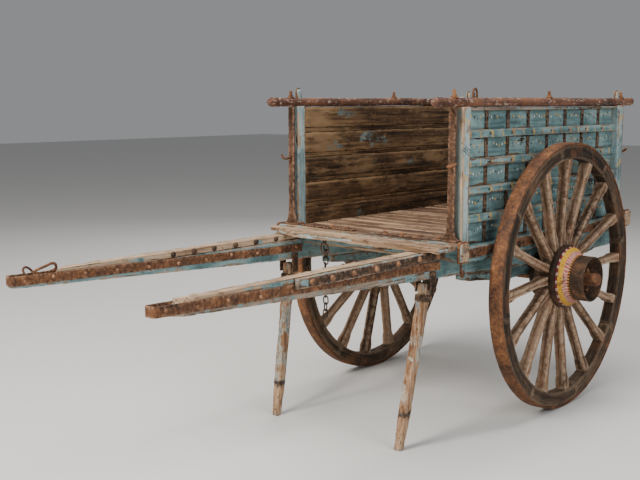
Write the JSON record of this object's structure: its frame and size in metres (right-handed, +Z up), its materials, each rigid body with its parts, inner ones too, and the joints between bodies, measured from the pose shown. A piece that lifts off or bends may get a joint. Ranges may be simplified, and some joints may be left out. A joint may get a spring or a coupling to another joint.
{
  "type": "two-wheeled wooden farm cart",
  "caption": "Weathered wooden cart with an open-fronted box, dished spoked wheels, long iron-strapped shafts and hinged prop legs; carries loads behind a draught animal.",
  "frame": {"origin": "on the ground, under the middle of the cart's overall length and width", "axes": "+Z up, the shafts point along -Y, +X is the cart's left side; the axle is 0.7835 m along +Y from the origin"},
  "size_m": [1.656, 3.653, 1.672],
  "materials": {
    "blue_wood": "old blue-green paint, chipped to bare wood",
    "grey_wood": "bare weathered wood",
    "dark_wood": "dark weathered wood",
    "rusty_iron": "rusted wrought iron",
    "dark_iron": "dark rusted iron"
  },
  "bodies": {
    "cart": {"front_footboard": "grey_wood", "front_strip_board": "grey_wood", "front_cross_beam": "blue_wood", "rear_cross_beam": "blue_wood", "floor_boards": "grey_wood", "axle": "dark_iron", "shaft_left": "blue_wood", "shaft_cheek_left": "blue_wood", "sill_left": "blue_wood", "side_panel_left": "blue_wood", "front_post_left": "blue_wood", "rear_post_left": "blue_wood", "axle_bolster_left": "blue_wood", "shaft_cap_left": "grey_wood", "shaft_iron_left": "rusty_iron", "sill_iron_left": "rusty_iron", "top_rail_left": "rusty_iron", "front_post_iron_left": "rusty_iron", "rear_post_iron_left": "rusty_iron", "front_beam_band_left": "rusty_iron", "rear_beam_band_left": "rusty_iron", "upright_irons_left": "dark_iron", "linchpin_left": "dark_iron", "axle_washer_left": "dark_iron", "prop_ears_left": "dark_iron", "shaft_right": "blue_wood", "shaft_cheek_right": "blue_wood", "sill_right": "blue_wood", "side_panel_right": "blue_wood", "front_post_right": "blue_wood", "rear_post_right": "blue_wood", "axle_bolster_right": "blue_wood", "shaft_cap_right": "grey_wood", "shaft_iron_right": "rusty_iron", "sill_iron_right": "rusty_iron", "top_rail_right": "rusty_iron", "front_post_iron_right": "rusty_iron", "rear_post_iron_right": "rusty_iron", "front_beam_band_right": "rusty_iron", "rear_beam_band_right": "rusty_iron", "upright_irons_right": "dark_iron", "linchpin_right": "dark_iron", "axle_washer_right": "dark_iron", "prop_ears_right": "dark_iron"},
    "wheel_left": {"wheel_left_tyre": "rusty_iron", "wheel_left_felloes": "dark_wood", "wheel_left_nave_and_spokes": "grey_wood", "wheel_left_nave_band": "dark_iron", "wheel_left_nave_sleeve": "dark_iron"},
    "prop_left": {"prop_leg_left": "grey_wood"},
    "wheel_right": {"wheel_right_tyre": "rusty_iron", "wheel_right_felloes": "dark_wood", "wheel_right_nave_and_spokes": "grey_wood", "wheel_right_nave_band": "dark_iron", "wheel_right_nave_sleeve": "dark_iron"},
    "prop_right": {"prop_leg_right": "grey_wood"}
  },
  "joints": [
    {"name": "wheel_left_spin", "type": "hinge", "parent": "cart", "child": "wheel_left", "pos_m": [0.63, 0.7835, 0.7], "axis": [1, 0, 0], "continuous": true},
    {"name": "wheel_right_spin", "type": "hinge", "parent": "cart", "child": "wheel_right", "pos_m": [-0.63, 0.7835, 0.7], "axis": [1, 0, 0], "continuous": true},
    {"name": "prop_left_swing", "type": "hinge", "parent": "cart", "child": "prop_left", "pos_m": [0.427, -0.2015, 0.755], "axis": [1, 0, 0], "range_deg": [0, 85]},
    {"name": "prop_right_swing", "type": "hinge", "parent": "cart", "child": "prop_right", "pos_m": [-0.427, -0.2015, 0.755], "axis": [1, 0, 0], "range_deg": [0, 85]}
  ]
}
